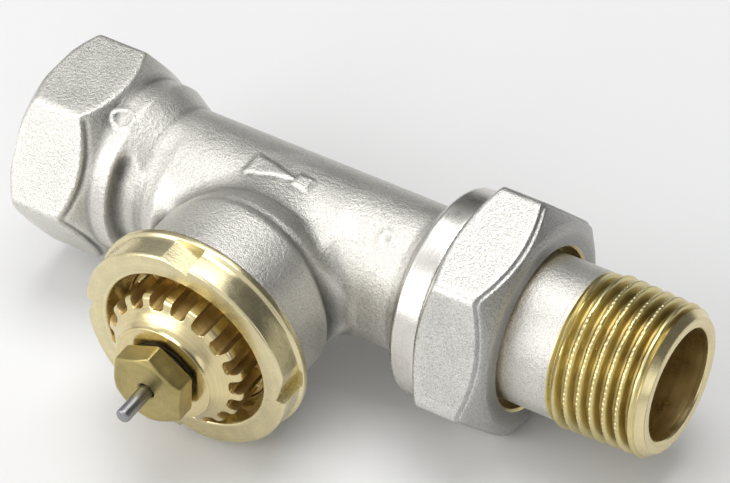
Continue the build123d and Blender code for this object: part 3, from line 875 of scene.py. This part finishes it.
def collar_shell():
    front, back = collar_front, collar_back
    outline = [
        (back, COLLAR_BORE_R),
        (back, collar_lip_r - 0.7),
        (back + 0.45, collar_lip_r),
        (back + 1.25, collar_lip_r),
        (back + 1.55, RIM_R + 0.02),
        (back + 2.2, RIM_R),
        (front - 0.3, RIM_R),
        (front, RIM_R - 0.3),
        (front, 12.3),
        (front - 0.2, 12.1),
        (spigot_top + 0.5, COLLAR_BORE_R + 0.03),
        (spigot_top + 0.1, COLLAR_BORE_R),
    ]
    points = rounded(outline, 0.14)
    half = 0.14
    edges = []
    for k in range(4):
        middle = k * math.pi / 2
        edges += [middle - half, middle - half + 0.006, middle + half - 0.006, middle + half]
    plain = np.linspace(0, 2 * math.pi, 200, endpoint=False)
    turn = np.unique(np.round(np.concatenate([plain, np.array(edges) % (2 * math.pi)]), 5))
    along = np.repeat(points[:, :1], len(turn), 1)
    radius = np.repeat(points[:, 1:], len(turn), 1)
    turns = np.repeat(turn[None, :], len(points), 0)
    # Each notch is a ramp that ends at a wall
    from_middle = (turns + math.pi / 4) % (math.pi / 2) - math.pi / 4
    slot_r = RIM_R - 1.2 * np.clip((half - from_middle) / (2 * half), 0, 1)
    in_slot = (np.abs(from_middle) < half - 0.003) & (along > back + 1.35) & (radius > slot_r)
    radius = np.where(in_slot, slot_r, radius)
    mesh = lattice_mesh("collar_ring", on_spindle(along, radius, turns))
    piece = make_object("collar_ring", mesh, brass_collar)
    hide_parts("head_collar")
    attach(piece, "valve")


# ---------------------------------------------------------------- bonnet


def bonnet_shell():
    top = collar_front + 2.2
    gap_floor = spigot_top + 0.75
    rows = [
        (bonnet_back, 5.65),
        (bonnet_back, 7.2),
        (bonnet_back + 1.4, 7.2),
        (bonnet_back + 1.4, 9.0),
        (spigot_top, 9.0),
        (spigot_top, bonnet_tip_r),
    ]
    points = rounded([(4.0, 5.65)] + rows + [(spigot_top + 3, bonnet_tip_r)], 0.1)[4:-4].tolist()
    points += [(at, bonnet_tip_r) for at in np.arange(gap_floor - 0.1, top - 0.5, 0.16)]
    points += [(top - 0.35, bonnet_tip_r - 0.08), (top - 0.1, bonnet_tip_r - 0.3)]
    cove = np.linspace(0, 1, 26)
    start, end = np.array([top, bonnet_tip_r - 0.5]), np.array([neck_front - 0.35, NECK_R])
    bend = np.array([neck_front - 1.75, NECK_R + 0.75])
    for t in cove:
        points.append(tuple((1 - t) ** 2 * start + 2 * t * (1 - t) * bend + t * t * end))
    bush_top, bush_bottom = spigot_top + 0.2, spigot_top - 4.7
    face = [(neck_front, NECK_R), (neck_front, 4.1), (bush_top + 1.5, 4.1), (bush_top + 1.5, 2.1)]
    face += [(bush_top, 2.1), (bush_top, 3.6), (bush_bottom, 3.6), (bush_bottom, 5.65)]
    points += rounded([tuple(end)] + face + [(bonnet_back, 5.65)], 0.12)[4:-4].tolist()
    pitch = 2 * math.pi / TEETH

    def gaps(along, radius, turn):
        offset = np.abs((turn + pitch / 2) % pitch - pitch / 2) / (pitch / 2)
        wall = np.clip((offset - 0.6) / 0.12, 0, 1)
        floor_r = bonnet_tip_r - 1.5 + 0.3 * np.clip(offset / 0.6, 0, 1) ** 4
        gap_r = floor_r + wall * 2.5
        entry = np.clip((along - gap_floor) / 0.25, 0, 1)
        gap_r = gap_r + (1 - entry) * 3.0
        outer = (radius > 8.0) & (along > gap_floor - 0.2)
        return np.where(outer, np.minimum(radius, gap_r), radius)

    mesh = lathe("bonnet_neck", points, on_spindle, TEETH * 24, gaps, raw=True)
    piece = make_object("bonnet_neck", mesh)

    def choose(centre, normal):
        across = np.hypot(centre[:, 0] - branch_x, centre[:, 2])
        height = -centre[:, 1]
        outward_part = (
            normal[:, 0] * (centre[:, 0] - branch_x) + normal[:, 2] * centre[:, 2]
        ) / np.maximum(across, 0.1)
        tip = across > bonnet_tip_r - 0.3
        # Painted shade: the gap floors and side walls between the teeth get the darker brass.
        deep = (height > gap_floor - 0.3) & (height < top - 0.1) & ~tip
        side = (np.abs(outward_part) < 0.75) & (height < top + 0.6) & (height > gap_floor)
        flat = np.abs(normal[:, 1]) > 0.5
        return np.where((deep | side) & ~flat, 1, 0)

    paint_faces(piece, [brass_neck, brass_gap_painted_shade], choose)
    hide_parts("bonnet")
    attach(piece, "valve")


# ---------------------------------------------------------------- gland nut


def gland_shell():
    step = 0.085
    corner_r = GLAND_FLATS / math.sqrt(3)
    under = neck_front + 0.6
    low_corner = (branch_x - 6.2, -gland_top - 0.5, -6.2)
    field = Field(low_corner, (branch_x + 6.2, -gland_back + 0.5, 6.2), step)
    across, up, height = field.x - branch_x, field.z, -field.y
    reach = np.sqrt(across * across + up * up)
    hexagon = hexagon_distance(across, up, GLAND_FLATS, GLAND_TURN, 0.25)
    cap = turned_distance(
        height,
        reach,
        [
            (under, 0.0),
            (under, corner_r - 0.3),
            (under + 0.25, corner_r + 0.2),
            (gland_top - 0.65, corner_r + 0.2),
            (gland_top, GLAND_FLATS / 2 - 0.3),
            (gland_top, 0.0),
        ],
    )
    nut = smooth_cut(hexagon, cap, 0.18)
    shank_middle, shank_half = (under + gland_back) / 2, (under - gland_back) / 2
    shank = np.maximum(reach - 3.98, np.abs(height - shank_middle) - shank_half)
    nut = np.minimum(nut, shank)
    cavity = np.maximum(reach - 2.47, height - (gland_top - 2.5))
    hole = turned_distance(
        height, reach, [(gland_back - 1, 1.05), (gland_top - 0.3, 1.05), (gland_top + 0.3, 1.75)]
    )
    nut = np.maximum(nut, -np.minimum(cavity, hole))
    piece = make_object("gland_hex", field.mesh("gland_hex", nut), brass_gland)
    outward(piece.data, 35)
    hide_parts("gland_nut")
    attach(piece, "valve")


# ---------------------------------------------------------------- pieces kept from the CAD model


def finish_cad_nodes():
    kept = {
        "pressure_pin": steel_pin,
        "spindle": brass_gland,
        "spring_plate": brass_gland,
        "spring_seat": brass_gland,
        "cone_holder": brass_gland,
        "disc_washer": brass_gland,
        "disc_nut": brass_gland,
        "retaining_clip": spring_steel,
        "return_spring": spring_steel,
        "valve_disc": disc_rubber,
        "pin_guide_bush": bush_plastic,
        "spindle_guide_bush": bush_plastic,
    }
    rings = ("pin_o_ring", "bonnet_o_ring", "spindle_o_ring", "tail_o_ring", "gland_face_o_ring")
    for name in rings:
        kept[name] = seal_rubber
    for name, material in kept.items():
        for slot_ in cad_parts[name].material_slots:
            slot_.material = material


# ---------------------------------------------------------------- stage, light and camera


def stage():
    material, tree, shader = new_material("floor_paint")
    tone = ramp(tree, noise(tree, 0.02, 2.0), [(0.4, 0.79), (0.6, 0.81)])
    tree.links.new(tone, shader.inputs["Base Color"])
    shader.inputs["Roughness"].default_value = 0.9
    size = 3.0
    corners = [(-size, -size), (size, -size), (size, size), (-size, size)]
    mesh = bpy.data.meshes.new("floor")
    mesh.from_pydata([(a, b, floor_z - 0.0002) for a, b in corners], [], [(0, 1, 2, 3)])
    make_object("floor", mesh, material)

    light_tent()
    bpy.context.scene.view_settings.view_transform = "Standard"
    aim = Vector((0.045, -0.01, 0))
    for name, place, width, height, power in (
        ("key", (-0.34, -0.56, 0.38), 0.60, 0.50, 2.1),
        ("top", (0.02, 0.14, 0.75), 0.55, 0.55, 3.0),
        ("side", (0.50, -0.22, 0.14), 0.30, 0.20, 0.2),
    ):
        light = bpy.data.lights.new(name, "AREA")
        light.shape = "RECTANGLE"
        light.size, light.size_y, light.energy = width, height, power
        lamp = bpy.data.objects.new(name, light)
        lamp.location = place
        lamp.rotation_euler = (aim - Vector(place)).to_track_quat("-Z", "Y").to_euler()
        bpy.context.scene.collection.objects.link(lamp)


def light_tent():
    """A white tent: bright on the near left where the key stands, and dim on the far right."""
    world = bpy.data.worlds.new("studio")
    world.use_nodes = True
    tree = world.node_tree
    place = node(tree, "ShaderNodeTexCoord")
    towards = node(tree, "ShaderNodeVectorMath", operation="DOT_PRODUCT")
    towards.inputs[1].default_value = (-0.50, -0.62, 0.60)
    tree.links.new(place.outputs["Generated"], towards.inputs[0])
    stops = [(0.0, 0.14), (0.3, 0.42), (0.6, 0.72), (0.95, 0.95)]
    glow = ramp(tree, towards.outputs["Value"], stops)
    tree.links.new(glow, tree.nodes["Background"].inputs["Color"])
    tree.nodes["Background"].inputs["Strength"].default_value = 1.0
    bpy.context.scene.world = world


def camera():
    """A long lens above the valve's front right, turned slightly."""
    azimuth, elevation, roll = (math.radians(a) for a in (35.5, 43.6, -3.9))
    distance, lens = 0.505, 189.0
    target = Vector((branch_x * MM, 0, 0))
    right = Vector((math.cos(azimuth), math.sin(azimuth), 0))
    back = Vector(
        (
            math.sin(azimuth) * math.cos(elevation),
            -math.cos(azimuth) * math.cos(elevation),
            math.sin(elevation),
        )
    )
    up = back.cross(right)
    across = right * math.cos(roll) + up * math.sin(roll)
    upward = up * math.cos(roll) - right * math.sin(roll)
    target += across * 9.0 * MM - upward * 1.8 * MM
    data = bpy.data.cameras.new("camera")
    data.lens, data.sensor_width = lens, 36.0
    data.clip_start, data.clip_end = 0.01, 20
    eye = bpy.data.objects.new("camera", data)
    turn = Matrix((across, upward, back)).transposed()
    eye.matrix_world = Matrix.Translation(target + back * distance) @ turn.to_4x4()
    bpy.context.scene.collection.objects.link(eye)
    bpy.context.scene.camera = eye


forged_body()
union_nut_shell()
tail_shell()
collar_shell()
bonnet_shell()
gland_shell()
finish_cad_nodes()
stage()
camera()
bpy.context.view_layer.update()
